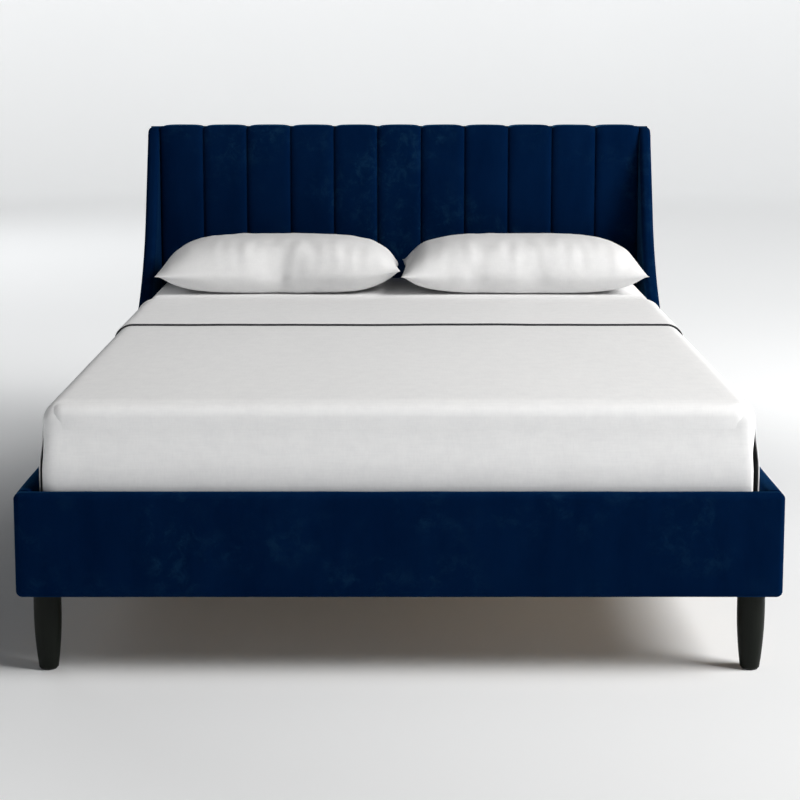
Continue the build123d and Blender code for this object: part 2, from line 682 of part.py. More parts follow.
def make_mattress_and_bedding():
    """The mattress, its fitted sheet, the coverlet, and the top sheet turned down over it."""
    bare = mattress_shape(0)
    sheeted = mattress_shape(SHEET_THICKNESS)
    covered = coverlet_shape()
    with BuildPart() as mattress:
        add(bare)
    save(mattress, "mattress")
    with BuildPart() as fitted_sheet:
        add(sheeted)
        add(bare, mode=Mode.SUBTRACT)
    save(fitted_sheet, "fitted_sheet")
    with BuildPart() as coverlet:
        add(covered)
        add(sheeted, mode=Mode.SUBTRACT)
    save(coverlet, "coverlet")
    half = COVERLET_HALF_WIDTH + SHEET_THICKNESS
    top_z = MATTRESS_TOP_Z + COVERLET_THICKNESS + 2 * SHEET_THICKNESS
    with BuildPart() as top_sheet:
        block(
            (-half, half),
            (TURN_DOWN_FOOT_Y, COVERLET_HEAD_Y + TURN_DOWN_NOSE),
            (TURN_DOWN_BOTTOM_Z, top_z),
        )
        long_edges = top_sheet.faces().sort_by(Axis.Z)[-1].edges().filter_by(Axis.Y)
        fillet(long_edges, COVERLET_SHOULDER + SHEET_THICKNESS)
        add(covered, mode=Mode.SUBTRACT)
        add(sheeted, mode=Mode.SUBTRACT)
    save(top_sheet, "top_sheet")


def draw_pillow_section(middle, span, inset):
    """A pillow's section: half an ellipse above the seam and a flatter half below it."""
    centre = (middle, PILLOW_SEAM_Z)
    with BuildLine() as outline:
        EllipticalCenterArc(centre, span / 2 - inset, PILLOW_RISE - inset, 0, arc_size=180)
        EllipticalCenterArc(centre, span / 2 - inset, PILLOW_SINK - inset, 180, arc_size=180)
    make_face(outline.edges())


def pillow_shape(centre_x, inset):
    """A four-cornered pillow: the common part of its front and side sections."""
    front_y = PILLOW_CENTRE_Y - PILLOW_DEPTH / 2 + inset
    left_x = centre_x - PILLOW_WIDTH / 2 + inset
    with BuildPart() as shape:
        with BuildSketch(Plane.XZ.offset(-front_y)):
            draw_pillow_section(centre_x, PILLOW_WIDTH, inset)
        extrude(amount=-(PILLOW_DEPTH - 2 * inset))
        with BuildSketch(Plane.YZ.offset(left_x)):
            draw_pillow_section(PILLOW_CENTRE_Y, PILLOW_DEPTH, inset)
        extrude(amount=PILLOW_WIDTH - 2 * inset, mode=Mode.INTERSECT)
    return shape.part


def make_pillows():
    """Each pillow is a filled insert in a pillowcase."""
    for side, sign in SIDES.items():
        outside = pillow_shape(sign * PILLOW_CENTRE_X, 0)
        inside = pillow_shape(sign * PILLOW_CENTRE_X, CASE_THICKNESS)
        with BuildPart() as insert:
            add(inside)
        save(insert, f"pillow_insert_{side}")
        with BuildPart() as case:
            add(outside)
            add(inside, mode=Mode.SUBTRACT)
        save(case, f"pillowcase_{side}")


os.makedirs("parts", exist_ok=True)
make_channel_pads()
make_headboard_panel()
make_headboard_frame()
make_headboard_back()
make_wings()
make_wing_bolts()
make_side_rails()
make_footboard()
make_corner_blocks()
make_corner_bolts()
make_feet()
make_foot_hardware()
make_cleats()
make_end_battens()
make_centre_beam()
make_slats()
make_centre_legs()
make_levelling_feet()
make_mattress_and_bedding()
make_pillows()
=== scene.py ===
"""Upholstered headboard bed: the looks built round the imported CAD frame, in metres."""

import json
import math

import bmesh
import bpy
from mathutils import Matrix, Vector, noise


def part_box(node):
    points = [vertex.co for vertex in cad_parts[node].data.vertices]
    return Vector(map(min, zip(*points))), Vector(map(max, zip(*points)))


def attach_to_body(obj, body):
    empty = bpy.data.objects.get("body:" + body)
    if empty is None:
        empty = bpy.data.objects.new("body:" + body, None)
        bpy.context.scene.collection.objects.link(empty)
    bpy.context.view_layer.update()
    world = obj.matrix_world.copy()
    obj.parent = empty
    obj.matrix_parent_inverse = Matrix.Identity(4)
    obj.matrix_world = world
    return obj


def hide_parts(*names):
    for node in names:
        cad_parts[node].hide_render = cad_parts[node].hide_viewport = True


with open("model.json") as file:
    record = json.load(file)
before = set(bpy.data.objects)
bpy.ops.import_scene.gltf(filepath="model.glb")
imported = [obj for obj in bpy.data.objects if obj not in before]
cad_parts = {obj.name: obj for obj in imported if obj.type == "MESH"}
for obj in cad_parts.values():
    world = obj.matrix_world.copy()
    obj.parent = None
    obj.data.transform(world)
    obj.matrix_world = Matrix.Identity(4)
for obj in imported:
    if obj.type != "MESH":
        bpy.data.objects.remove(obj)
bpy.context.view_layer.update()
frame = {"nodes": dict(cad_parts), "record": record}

# ================= Driving dimensions, in metres =================

# Camera: stands at the foot of the bed, on its centre line, and looks slightly down.
CAMERA_PLACE = (0.0, -4.7067, 1.3651)
CAMERA_PITCH = 7.096
CAMERA_LENS = 78.309
CAMERA_SHIFT = (0.0009, -0.18)

# Velvet pads and covers
CHANNELS = 11
CHANNEL_DEPTH = 0.012
CHANNEL_TOP_ROLL = 0.016
WING_ROUNDING = 0.015
WING_PRESSED_ROUNDING = 0.003
RAIL_ROUNDING = 0.014
BARE_STRIP = (0.205, 0.345)
SEAM_DEPTH = 0.0014
RAIL_PUFF = 0.0016

# Bedding
BED_SHOULDER = 0.045
BED_FLARE = 0.012
FLARE_DROP = 0.11
COVERLET_THICKNESS = 0.003
TUCK_Z = 0.352
TURN_DOWN_Z = 0.432
CORNER_SQUARENESS = 3.5
CREST_RISE = 0.0018
PIPE_HEIGHT = 0.0048
TOP_SHEET_HEIGHT = 0.0064
SPLIT_ANGLE = 35.0
SPLIT_SIDE_ANGLE = 18.0
SPLIT_FRONT_ANGLE = {-1: 49.0, 1: 56.0}

# Pillows: each moves a little from its place, and its corners move by themselves
PILLOW_SIZE = (0.765, 0.450)
PILLOW_SHIFT = {"left": 0.013, "right": 0.0}
PILLOW_CORNERS = {
    "left": {(1, -1): (0.0, 0.012, 0.016), (1, 1): (-0.018, 0.0, 0.0)},
    "right": {(-1, -1): (-0.004, -0.010, 0.0)},
}
PILLOW_SINK = 0.060
PILLOW_FULLNESS = 5.0
PILLOW_PRESSURE = 3.2
PILLOW_FRAMES = 30
PILLOW_DRAW = 0.3
PILLOW_SMOOTHING = 14
PILLOW_FOLD_SIZE = 0.034
PILLOW_FOLD_HEIGHT = 0.0046

# Studio
KEY_PLACE = (5.9, -2.25, 4.8)
KEY_SIZE = 3.6
KEY_POWER = 770.0
FILL_POWER = 8.0
REAR_FILL_POWER = 85.0
WORLD_LIGHT = 0.035
# Painted light: how strongly the floor glows beyond the bed, and how much more the far floor and wall glow.
FLOOR_GLOW = 0.34
BACKDROP_GLOW = 0.14


# ================= Camera =================


def make_camera():
    data = bpy.data.cameras.new("camera")
    data.lens = CAMERA_LENS
    data.shift_x, data.shift_y = CAMERA_SHIFT
    data.clip_end = 100.0
    camera = bpy.data.objects.new("camera", data)
    camera.location = CAMERA_PLACE
    camera.rotation_euler = (math.radians(90.0 - CAMERA_PITCH), 0.0, 0.0)
    bpy.context.scene.collection.objects.link(camera)
    bpy.context.scene.camera = camera


# ================= Mesh helpers =================


def quads(rows, columns, wrap=False, first=0):
    """The quads of a grid of points stored row by row; wrap joins the last column to the first."""
    faces = []
    for i in range(rows - 1):
        for j in range(columns if wrap else columns - 1):
            k = (j + 1) % columns
            low, high = first + i * columns, first + (i + 1) * columns
            faces.append((low + j, low + k, high + k, high + j))
    return faces


def tube(loops):
    """Points and faces of a closed body through loops of equal length, capped at both ends."""
    count = len(loops[0])
    points = [p for loop in loops for p in loop]
    faces = quads(len(loops), count, wrap=True)
    faces.append(tuple(range(count)))
    faces.append(tuple(range(len(points) - count, len(points))))
    return points, faces


def make_piece(name, points, faces, materials, merge=0.0):
    """A smooth-shaded mesh object with its normals turned outwards."""
    mesh = bpy.data.meshes.new(name)
    mesh.from_pydata([tuple(p) for p in points], [], faces)
    work = bmesh.new()
    work.from_mesh(mesh)
    if merge:
        bmesh.ops.remove_doubles(work, verts=work.verts, dist=merge)
    bmesh.ops.recalc_face_normals(work, faces=work.faces)
    for face in work.faces:
        face.smooth = True
    work.to_mesh(mesh)
    work.free()
    for material in materials:
        mesh.materials.append(material)
    piece = bpy.data.objects.new(name, mesh)
    bpy.context.scene.collection.objects.link(piece)
    return piece


def attach(piece, body, slot, *nodes):
    """Ride on a body and stand for CAD nodes, which are hidden; the slot is not used."""
    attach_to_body(piece, body)
    if nodes:
        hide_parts(*nodes)
    return piece


def spread(start, end, count):
    """Evenly spaced numbers from start to end, both included."""
    return [start + (end - start) * i / (count - 1) for i in range(count)]


def smooth_step(value):
    value = max(0.0, min(1.0, value))
    return value * value * (3.0 - 2.0 * value)


def ripple(point, size, height, seed=0.0):
    """A gentle noise wave of the given size and height at a point."""
    x, y, z = point
    return height * noise.noise(Vector((x / size + seed, y / size - seed, z / size + 2.0 * seed)))


def rounding(depth, radius):
    """How far a surface has drawn in at a depth below a rounded edge."""
    if depth >= radius:
        return 0.0
    return radius - math.sqrt(max(0.0, radius**2 - (radius - depth) ** 2))


# ================= Materials =================


class Shader:
    """A node material with its Principled shader and object coordinates at hand."""

    def __init__(self, name, roughness, **settings):
        self.material = bpy.data.materials.new(name)
        self.material.use_nodes = True
        self.nodes = self.material.node_tree.nodes
        self.links = self.material.node_tree.links
        self.surface = self.nodes["Principled BSDF"]
        self.surface.inputs["Roughness"].default_value = roughness
        for socket, value in settings.items():
            self.surface.inputs[socket.replace("_", " ")].default_value = value
        self.coordinates = self.nodes.new("ShaderNodeTexCoord").outputs["Object"]

    def stretched(self, scale, shift=(0.0, 0.0, 0.0)):
        """Object coordinates scaled along each axis, then shifted."""
        mapping = self.nodes.new("ShaderNodeMapping")
        mapping.inputs["Location"].default_value = shift
        mapping.inputs["Scale"].default_value = scale
        self.links.new(self.coordinates, mapping.inputs["Vector"])
        return mapping.outputs["Vector"]

    def noise(self, scale, detail=3.0, roughness=0.5, distortion=0.0, vector=None):
        node = self.nodes.new("ShaderNodeTexNoise")
        node.inputs["Scale"].default_value = scale
        node.inputs["Detail"].default_value = detail
        node.inputs["Roughness"].default_value = roughness
        node.inputs["Distortion"].default_value = distortion
        self.links.new(vector or self.coordinates, node.inputs["Vector"])
        return node.outputs["Fac"]

    def wave(self, scale, axis, distortion=0.0, vector=None):
        node = self.nodes.new("ShaderNodeTexWave")
        node.bands_direction = axis
        node.inputs["Scale"].default_value = scale
        node.inputs["Distortion"].default_value = distortion
        self.links.new(vector or self.coordinates, node.inputs["Vector"])
        return node.outputs["Fac"]

    def ramp(self, factor, stops):
        """A colour ramp; each stop is a place and a colour."""
        node = self.nodes.new("ShaderNodeValToRGB")
        elements = node.color_ramp.elements
        while len(elements) < len(stops):
            elements.new(0.5)
        for element, (place, colour) in zip(elements, stops):
            element.position = place
            element.color = (*colour, 1.0)
        self.links.new(factor, node.inputs["Fac"])
        return node.outputs["Color"]

    def math(self, operation, first, second):
        node = self.nodes.new("ShaderNodeMath")
        node.operation = operation
        for socket, value in zip(node.inputs, (first, second)):
            if isinstance(value, (int, float)):
                socket.default_value = value
            else:
                self.links.new(value, socket)
        return node.outputs["Value"]

    def step(self, value, low, high):
        """A soft step from 0 at low to 1 at high."""
        node = self.nodes.new("ShaderNodeMapRange")
        node.interpolation_type = "SMOOTHSTEP"
        node.inputs["From Min"].default_value = low
        node.inputs["From Max"].default_value = high
        self.links.new(value, node.inputs["Value"])
        return node.outputs["Result"]

    def mix(self, factor, first, second):
        node = self.nodes.new("ShaderNodeMix")
        node.data_type = "RGBA"
        sockets = (node.inputs["Factor"], node.inputs[6], node.inputs[7])
        for socket, value in zip(sockets, (factor, first, second)):
            if isinstance(value, (int, float)):
                socket.default_value = value
            elif isinstance(value, tuple):
                socket.default_value = (*value, 1.0)
            else:
                self.links.new(value, socket)
        return node.outputs[2]

    def colour(self, output):
        self.links.new(output, self.surface.inputs["Base Color"])

    def bump(self, height, strength, distance):
        node = self.nodes.new("ShaderNodeBump")
        node.inputs["Strength"].default_value = strength
        node.inputs["Distance"].default_value = distance
        self.links.new(height, node.inputs["Height"])
        self.links.new(node.outputs["Normal"], self.surface.inputs["Normal"])

    def roughness(self, factor, low, high):
        node = self.nodes.new("ShaderNodeMapRange")
        node.inputs["To Min"].default_value = low
        node.inputs["To Max"].default_value = high
        self.links.new(factor, node.inputs["Value"])
        self.links.new(node.outputs["Result"], self.surface.inputs["Roughness"])


def velvet_material():
    """Deep navy velvet: brushed blotches in the pile, a soft sheen and a fine nap."""
    shader = Shader(
        "navy_velvet",
        0.9,
        Sheen_Weight=0.30,
        Sheen_Roughness=0.28,
        Sheen_Tint=(0.08, 0.30, 0.62, 1.0),
        Specular_IOR_Level=0.0,
    )
    cloud = shader.noise(4.5, 3.0, 0.55, 0.2)
    brushed = shader.noise(26.0, 9.0, 0.78, 0.5)
    marks = shader.math("MULTIPLY", shader.step(cloud, 0.42, 0.66), shader.step(brushed, 0.47, 0.66))
    streaks = shader.noise(14.0, 6.0, 0.65, vector=shader.stretched((1.0, 1.0, 0.3)))
    pile = shader.ramp(streaks, [(0.32, (0.0004, 0.0070, 0.0305)), (0.72, (0.0010, 0.0100, 0.0400))])
    shader.colour(shader.mix(marks, pile, (0.0040, 0.0190, 0.0520)))
    nap = shader.noise(1400.0, 2.0, 0.6)
    shader.bump(nap, 0.25, 0.0004)
    return shader.material


def cloth_material(name, light, dark, thread, bump, sheen=0.1):
    """Woven cloth: uneven threads along and across the piece with a faint mottled colour."""
    shader = Shader(name, 0.9, Sheen_Weight=sheen, Sheen_Roughness=0.5, Specular_IOR_Level=0.15)
    fine = 0.35 / thread
    warp = shader.noise(fine, 2.0, 0.5, vector=shader.stretched((1.0, 0.08, 0.25)))
    weft = shader.noise(fine, 2.0, 0.5, vector=shader.stretched((0.08, 1.0, 1.0)))
    weave = shader.math("MULTIPLY", shader.math("ADD", warp, weft), 0.5)
    threads = shader.math("MULTIPLY", weave, 0.6)
    mottle = shader.math("MULTIPLY", shader.noise(35.0), 0.4)
    shade = shader.math("ADD", threads, mottle)
    shader.colour(shader.ramp(shade, [(0.36, dark), (0.62, light)]))
    shader.bump(weave, bump, 0.0005)
    return shader.material


def ticking_material(name, base, stripe, pitch):
    """Mattress and pillow ticking: narrow stripes on a plain woven ground."""
    shader = Shader(name, 0.85, Sheen_Weight=0.05, Specular_IOR_Level=0.2)
    lines = shader.wave(math.pi / (10.0 * pitch), "X")
    stripes = shader.ramp(lines, [(0.80, base), (0.88, stripe)])
    weave = shader.noise(700.0, 2.0)
    shader.colour(shader.mix(0.12, stripes, shader.ramp(weave, [(0.3, base), (0.7, stripe)])))
    shader.bump(weave, 0.2, 0.0004)
    return shader.material


def wood_material(name, light, dark, along, roughness=0.6, grain=22.0, gloss=0.4):
    """Timber with its grain running along one axis."""
    shader = Shader(name, roughness, Specular_IOR_Level=gloss)
    scale = [1.0, 1.0, 1.0]
    scale["XYZ".index(along)] = 0.06
    vector = shader.stretched(tuple(scale))
    rings = shader.noise(grain, 4.0, 0.6, 0.6, vector)
    fibres = shader.noise(grain * 14.0, 3.0, 0.6, 0.0, vector)
    figure = shader.math("ADD", shader.math("MULTIPLY", rings, 0.72), shader.math("MULTIPLY", fibres, 0.28))
    shader.colour(shader.ramp(figure, [(0.34, dark), (0.66, light)]))
    shader.roughness(fibres, roughness - 0.08, roughness + 0.1)
    shader.bump(fibres, 0.25, 0.0004)
    return shader.material


def metal_material(name, light, dark, roughness, metallic):
    """Plated or powder-coated steel with a fine mottle."""
    shader = Shader(name, roughness, Metallic=metallic)
    spangle = shader.noise(260.0, 3.0, 0.6)
    shader.colour(shader.ramp(spangle, [(0.35, dark), (0.65, light)]))
    shader.roughness(spangle, roughness - 0.07, roughness + 0.1)
    shader.bump(spangle, 0.1, 0.0002)
    return shader.material


def plastic_material(name, light, dark):
    """Moulded plastic with a fine leathery skin."""
    shader = Shader(name, 0.5)
    skin = shader.noise(900.0, 2.0, 0.5)
    shader.colour(shader.ramp(skin, [(0.35, dark), (0.65, light)]))
    shader.roughness(skin, 0.42, 0.6)
    shader.bump(skin, 0.2, 0.0002)
    return shader.material


def make_materials():
    """Every finish by name; most names are the record's material slots."""
    pine_light, pine_dark = (0.50, 0.36, 0.21), (0.35, 0.23, 0.12)
    made = {
        "navy_velvet": velvet_material(),
        "dark_wood": wood_material(
            "dark_wood", (0.0078, 0.0100, 0.0076), (0.0040, 0.0054, 0.0040), "Z", 0.45, 30.0, 0.12
        ),
        "pine_x": wood_material("pine_x", pine_light, pine_dark, "X"),
        "pine_y": wood_material("pine_y", pine_light, pine_dark, "Y"),
        "pine_z": wood_material("pine_z", pine_light, pine_dark, "Z"),
        "plywood": wood_material("plywood", (0.50, 0.33, 0.17), (0.36, 0.22, 0.10), "Y", 0.7),
        "birch_slats": wood_material("birch_slats", (0.66, 0.48, 0.28), (0.50, 0.33, 0.17), "X", 0.55),
        "black_steel": metal_material("black_steel", (0.020, 0.020, 0.021), (0.010, 0.010, 0.011), 0.5, 0.0),
        "zinc_steel": metal_material("zinc_steel", (0.62, 0.63, 0.64), (0.42, 0.43, 0.45), 0.38, 1.0),
        "glide_plastic": plastic_material("glide_plastic", (0.020, 0.020, 0.020), (0.010, 0.010, 0.010)),
        "white_coverlet": cloth_material(
            "white_coverlet", (0.84, 0.84, 0.84), (0.79, 0.79, 0.795), 0.0012, 0.35
        ),
        "white_sheet": cloth_material("white_sheet", (0.86, 0.86, 0.86), (0.81, 0.81, 0.815), 0.0009, 0.25),
        "pillowcase_cotton": cloth_material(
            "pillowcase_cotton", (0.76, 0.76, 0.76), (0.72, 0.72, 0.725), 0.0009, 0.2
        ),
        "charcoal": cloth_material("charcoal", (0.040, 0.042, 0.046), (0.022, 0.023, 0.026), 0.0011, 0.35),
        "back_cloth": cloth_material(
            "back_cloth", (0.010, 0.012, 0.018), (0.005, 0.006, 0.010), 0.0008, 0.4, 0.05
        ),
        "webbing": cloth_material("webbing", (0.72, 0.71, 0.67), (0.56, 0.55, 0.51), 0.0012, 0.8),
        "ticking": ticking_material("ticking", (0.72, 0.70, 0.65), (0.30, 0.36, 0.45), 0.018),
    }
    made["pillow_ticking"] = made["ticking"]
    return made


PINE_AXES = {"centre_beam": "y", "slat_cleat_left": "y", "slat_cleat_right": "y"}
PINE_AXES.update({"side_rail_core_left": "y", "side_rail_core_right": "y"})
PINE_AXES.update({"headboard_post_left": "z", "headboard_post_right": "z"})


def dress_cad_nodes(materials):
    """Give each carried-over CAD node the procedural finish of its slot, grain along its length."""
    for row in frame["record"]["subparts"]:
        name, slot = row["node"], row["material_slot"]
        if slot == "pine":
            slot = "pine_" + PINE_AXES.get(name, "x")
        data = frame["nodes"][name].data
        data.materials.clear()
        data.materials.append(materials[slot])


# ================= Headboard =================


def pad_fall(share):
    """How far a channel's face lies below its crown; share runs from -1 to 1 across the channel."""
    edge = 1.0 - math.sqrt(max(0.0, 1.0 - abs(share) ** 7))
    return CHANNEL_DEPTH * (0.16 * share * share + 0.84 * edge)


def pad_path(lo, hi, back_y):
    """Points and outward normals up the pad's front, over its top roll and down its back lip."""
    roll = CHANNEL_TOP_ROLL
    path = []
    for z in spread(lo.z, hi.z - roll, 54):
        path.append((Vector((lo.y, z)), Vector((-1.0, 0.0))))
    for angle in spread(0.0, math.pi / 2, 9)[1:]:
        normal = Vector((-math.cos(angle), math.sin(angle)))
        path.append((Vector((lo.y + roll, hi.z - roll)) + roll * normal, normal))
    for y in spread(lo.y + roll, back_y - 0.004, 8)[1:]:
        path.append((Vector((y, hi.z)), Vector((0.0, 1.0))))
    path.append((Vector((back_y - 0.001, hi.z - 0.0015)), Vector((0.7, 0.7))))
    path.append((Vector((back_y, hi.z - 0.0050)), Vector((1.0, 0.0))))
    path.append((Vector((back_y, hi.z - 0.0098)), Vector((1.0, 0.0))))
    return path


def make_channel_pads(materials):
    """Eleven upright velvet channels, each drawn down hard at its seams and rolled over the top."""
    shares = [math.sin(a) for a in spread(-math.pi / 2, math.pi / 2, 25)]
    panel_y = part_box("headboard_panel")[0].y
    frame_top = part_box("headboard_panel")[1].z
    for number in range(1, CHANNELS + 1):
        node = f"channel_pad_{number:02d}"
        lo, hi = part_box(node)
        centre, half = (lo.x + hi.x) / 2, (hi.x - lo.x) / 2
        path = pad_path(lo, hi, hi.y)
        rows = []
        for place, normal in path:
            row = []
            for share in shares:
                fall = pad_fall(share)
                at = place - normal * fall
                x = centre + half * share
                wave = ripple((x, at.x, at.y), 0.09, 0.0011, 3.0) * (1.0 - share**8)
                pucker = ripple((x * 0.3, at.x, at.y), 0.016, 0.0008, 7.0 + number) * abs(share) ** 6
                wave += pucker * (1.0 - share**30)
                row.append((x, at.x + normal.x * wave, at.y + normal.y * wave))
            rows.append(row)
        first, last = rows[0], rows[-1]
        inside = [[(x, panel_y, z) for x, _, z in first]]
        inside.append([(x, panel_y, frame_top - 0.0005) for x, _, _ in first])
        inside.append([(x, y - 0.002, frame_top - 0.0005) for x, y, _ in last])
        rows = inside[:1] + rows + inside[:0:-1]
        count = len(shares)
        points = [p for row in rows for p in row]
        faces = quads(len(rows), count)
        faces += [
            tuple(
                (len(rows) - 1) * count + j if k else j
                for j, k in ((i, 0), (i + 1, 0), (i + 1, 1), (i, 1))
            )
            for i in range(count - 1)
        ]
        for j in (0, count - 1):
            faces.append(tuple(i * count + j for i in range(len(rows))))
        pad = make_piece(node + "_velvet", points, faces, [materials["navy_velvet"]])
        attach(pad, "frame", "navy_velvet", node)


def hemmed(start, end, count):
    """Evenly spaced numbers with closer ones near both ends, where a hem is folded and stitched."""
    steps = (0.0, 0.001, 0.002, 0.004, 0.010, 0.0112, 0.0120, 0.0128, 0.0138, 0.0149)
    left = [start + step for step in steps]
    right = [end - step for step in reversed(steps)]
    return left + spread(start, end, count)[1:-1] + right


def make_headboard_back(materials):
    """Dark cloth drawn over the back, with a stitched hem folded in round its border."""
    lo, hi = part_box("headboard_back_cover")
    columns, rows = hemmed(lo.x, hi.x, 56), hemmed(lo.z, hi.z, 32)
    points, faces = [], []
    for side in (0, 1):
        for z in rows:
            for x in columns:
                edge = min(x - lo.x, hi.x - x, z - lo.z, hi.z - z)
                slack = ripple((x, 0.0, z), 0.16, 0.0011, 5.0) * smooth_step(edge / 0.08)
                inset = 0.0012 * (1.0 - smooth_step(edge / 0.004))
                inset += 0.0007 * smooth_step((edge - 0.0138) / 0.0010)
                inset += 0.0009 * max(0.0, 1.0 - abs(edge - 0.0120) / 0.0008)
                y = (hi.y - inset - abs(slack)) if side else lo.y + 0.0002
                points.append((x, y, z))
    count = len(columns) * len(rows)
    faces += quads(len(rows), len(columns))
    faces += quads(len(rows), len(columns), first=count)
    wide = len(columns)
    rim = [j for j in range(wide)]
    rim += [i * wide + wide - 1 for i in range(1, len(rows))]
    rim += [(len(rows) - 1) * wide + j for j in range(wide - 2, -1, -1)]
    rim += [i * wide for i in range(len(rows) - 2, 0, -1)]
    faces += [(a, b, b + count, a + count) for a, b in zip(rim, rim[1:] + rim[:1])]
    back = make_piece("headboard_back_cloth", points, faces, [materials["back_cloth"]])
    attach(back, "frame", "back_cloth", "headboard_back_cover")


# ================= Wings =================


def wing_outline(lo, hi, pad_front_y, rail_top_z):
    """The top edge of a wing as (y, z, slope) from its toe to its back."""
    lean = math.radians(18.8)
    radius = 0.585
    stations = []
    for angle in spread(0.0, math.pi / 2 - lean, 44):
        y = lo.y + radius * math.sin(angle)
        z = rail_top_z + radius * (1.0 - math.cos(angle))
        stations.append((y, z, angle))
    corner = 0.024
    turn = math.pi / 2 - lean
    front_y = pad_front_y + 0.002
    tangent = corner * math.tan(turn / 2)
    end_y = front_y - tangent * math.cos(turn)
    end_z = hi.z - tangent * math.sin(turn)
    start_y, start_z, _ = stations[-1]
    for share in spread(0.0, 1.0, 16)[1:]:
        stations.append((start_y + (end_y - start_y) * share, start_z + (end_z - start_z) * share, turn))
    for angle in spread(turn, 0.0, 12)[1:]:
        y = front_y + tangent - corner * math.sin(angle)
        stations.append((y, hi.z - corner * (1.0 - math.cos(angle)), angle))
    for y in spread(front_y + tangent, hi.y, 8)[1:]:
        stations.append((y, hi.z, 0.0))
    return stations


def make_wings(materials):
    """The side wings: padded boards whose cover is boxed round the edge with a seam each side."""
    rail_top_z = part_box("side_rail_cover_left")[1].z
    pad_front_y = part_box("channel_pad_01")[0].y
    edge_depths = [0.0, 0.0003, 0.001, 0.0022, 0.004, 0.0062, 0.0090, 0.0120, 0.0137, 0.0150, 0.0163, 0.0190]
    for side in ("left", "right"):
        node = f"wing_cover_{side}"
        lo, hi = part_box(node)
        centre, half = (lo.x + hi.x) / 2, (hi.x - lo.x) / 2
        inner_hand = -1 if centre > 0 else 1
        stations = wing_outline(lo, hi, pad_front_y, rail_top_z)
        top_line = [Vector((y, z)) for y, z, _ in stations]
        loops = []
        for y, top_z, slope in stations:
            end = min(y - lo.y, hi.y - y)
            drawn = rounding(end, 0.003)
            steep = 1.0 / math.cos(slope)
            upper = [top_z - d * steep for d in edge_depths]
            lower = [lo.z + d for d in reversed(edge_depths)]
            levels = upper + spread(upper[-1], lower[0], 24)[1:-1] + lower
            against_pads = smooth_step((y - pad_front_y - 0.006) / 0.020)
            inner_rounding = WING_ROUNDING + (WING_PRESSED_ROUNDING - WING_ROUNDING) * against_pads
            faces_of = {}
            for hand in (-1, 1):
                edge_radius = inner_rounding if hand == inner_hand else WING_ROUNDING
                face = []
                for z in levels:
                    here = Vector((y, z))
                    deep = min((here - p).length for p in top_line) if top_z - z < 0.09 else 0.1
                    deep = min(deep, (top_z - z) * math.cos(slope) + 1e-9)
                    below = z - lo.z
                    drawn_in = max(rounding(deep, edge_radius), rounding(below, RAIL_ROUNDING))
                    seam = SEAM_DEPTH * max(0.0, 1.0 - abs(deep - WING_ROUNDING) / 0.0022)
                    inner = smooth_step((min(deep, below, 0.1) - 0.015) / 0.06)
                    wave = ripple((centre, y, z), 0.13, 0.0009, 1.0) * inner
                    face.append((hand * (half - drawn_in - seam + wave - drawn * 0.6), z))
                faces_of[hand] = face
            loop = [(centre + across, y, z) for across, z in faces_of[-1]]
            loop += [(centre + across, y, z) for across, z in reversed(faces_of[1])]
            loops.append(loop)
        points, faces = tube(loops)
        wing = make_piece(node + "_velvet", points, faces, [materials["navy_velvet"]])
        attach(wing, "frame", "navy_velvet", node)


# ================= Rails and footboard =================


def arc(centre, radius, start, end, count):
    """Points on a circular arc, angles in degrees."""
    angles = [math.radians(a) for a in spread(start, end, count)]
    return [(centre[0] + radius * math.cos(a), centre[1] + radius * math.sin(a)) for a in angles]


def rail_section(half, low_z, high_z, inset, notch):
    """The outline of a padded rail in (across, up), outer side first, with the bare strip inside."""
    radius = max(RAIL_ROUNDING - inset, 0.0004)
    side, bottom, top = half - inset, low_z + inset, high_z - inset
    core_x = -half + notch
    strip_low, strip_high = BARE_STRIP
    section = [(side, z) for z in spread(bottom + radius, top - radius, 18)]
    section += arc((side - radius, top - radius), radius, 0.0, 90.0, 9)[1:]
    section += arc((radius - side, top - radius), radius, 90.0, 180.0, 9)
    section += [(-side, z) for z in spread(top - radius, strip_high + 0.002, 5)[1:]]
    section += [(-side + 0.0004, strip_high + 0.0006), (max(core_x, -side), strip_high)]
    section += [(max(core_x, -side), strip_low), (-side + 0.0004, strip_low - 0.0006)]
    section += [(-side, z) for z in spread(strip_low - 0.002, bottom + radius, 3)[:-1]]
    section += arc((radius - side, bottom + radius), radius, 180.0, 270.0, 9)
    section += arc((side - radius, bottom + radius), radius, 270.0, 360.0, 9)[:-1]
    return section


def rail_loops(half, low_z, high_z, stations, insets, notches, place, seed):
    """Sections swept along a rail, with a slight puff on the outer face and a soft wave."""
    middle, reach = (low_z + high_z) / 2, (high_z - low_z) / 2
    loops = []
    for along, inset, notch in zip(stations, insets, notches):
        loop = []
        for across, up in rail_section(half, low_z, high_z, inset, notch):
            share = max(0.0, 1.0 - ((up - middle) / (reach - RAIL_ROUNDING)) ** 2)
            fade = max(0.0, 1.0 - inset / 0.004)
            if across > 0:
                across += (RAIL_PUFF * share + ripple((along, seed, up), 0.11, 0.0009, seed)) * fade
            if up > high_z - 0.004:
                up += ripple((along, seed, across), 0.12, 0.0006, seed) * fade
            loop.append(place(across, along, up))
        loops.append(loop)
    return loops


def end_steps(radius, count):
    """Distances from an end, and how far the section has drawn in at each."""
    steps = [radius * (1.0 - math.cos(a)) for a in spread(0.0, math.pi / 2, count)]
    return [(s, rounding(s, radius)) for s in steps]


def sweep_stations(start, end, radius, spacing):
    """Stations and insets along a rail whose ends are rounded over."""
    steps = end_steps(radius, 8)
    count = max(3, int((end - start - 2 * radius) / spacing))
    middle = spread(start + radius, end - radius, count)[1:-1]
    stations = [start + s for s, _ in steps] + middle + [end - s for s, _ in reversed(steps)]
    insets = [i for _, i in steps] + [0.0] * len(middle) + [i for _, i in reversed(steps)]
    return stations, insets


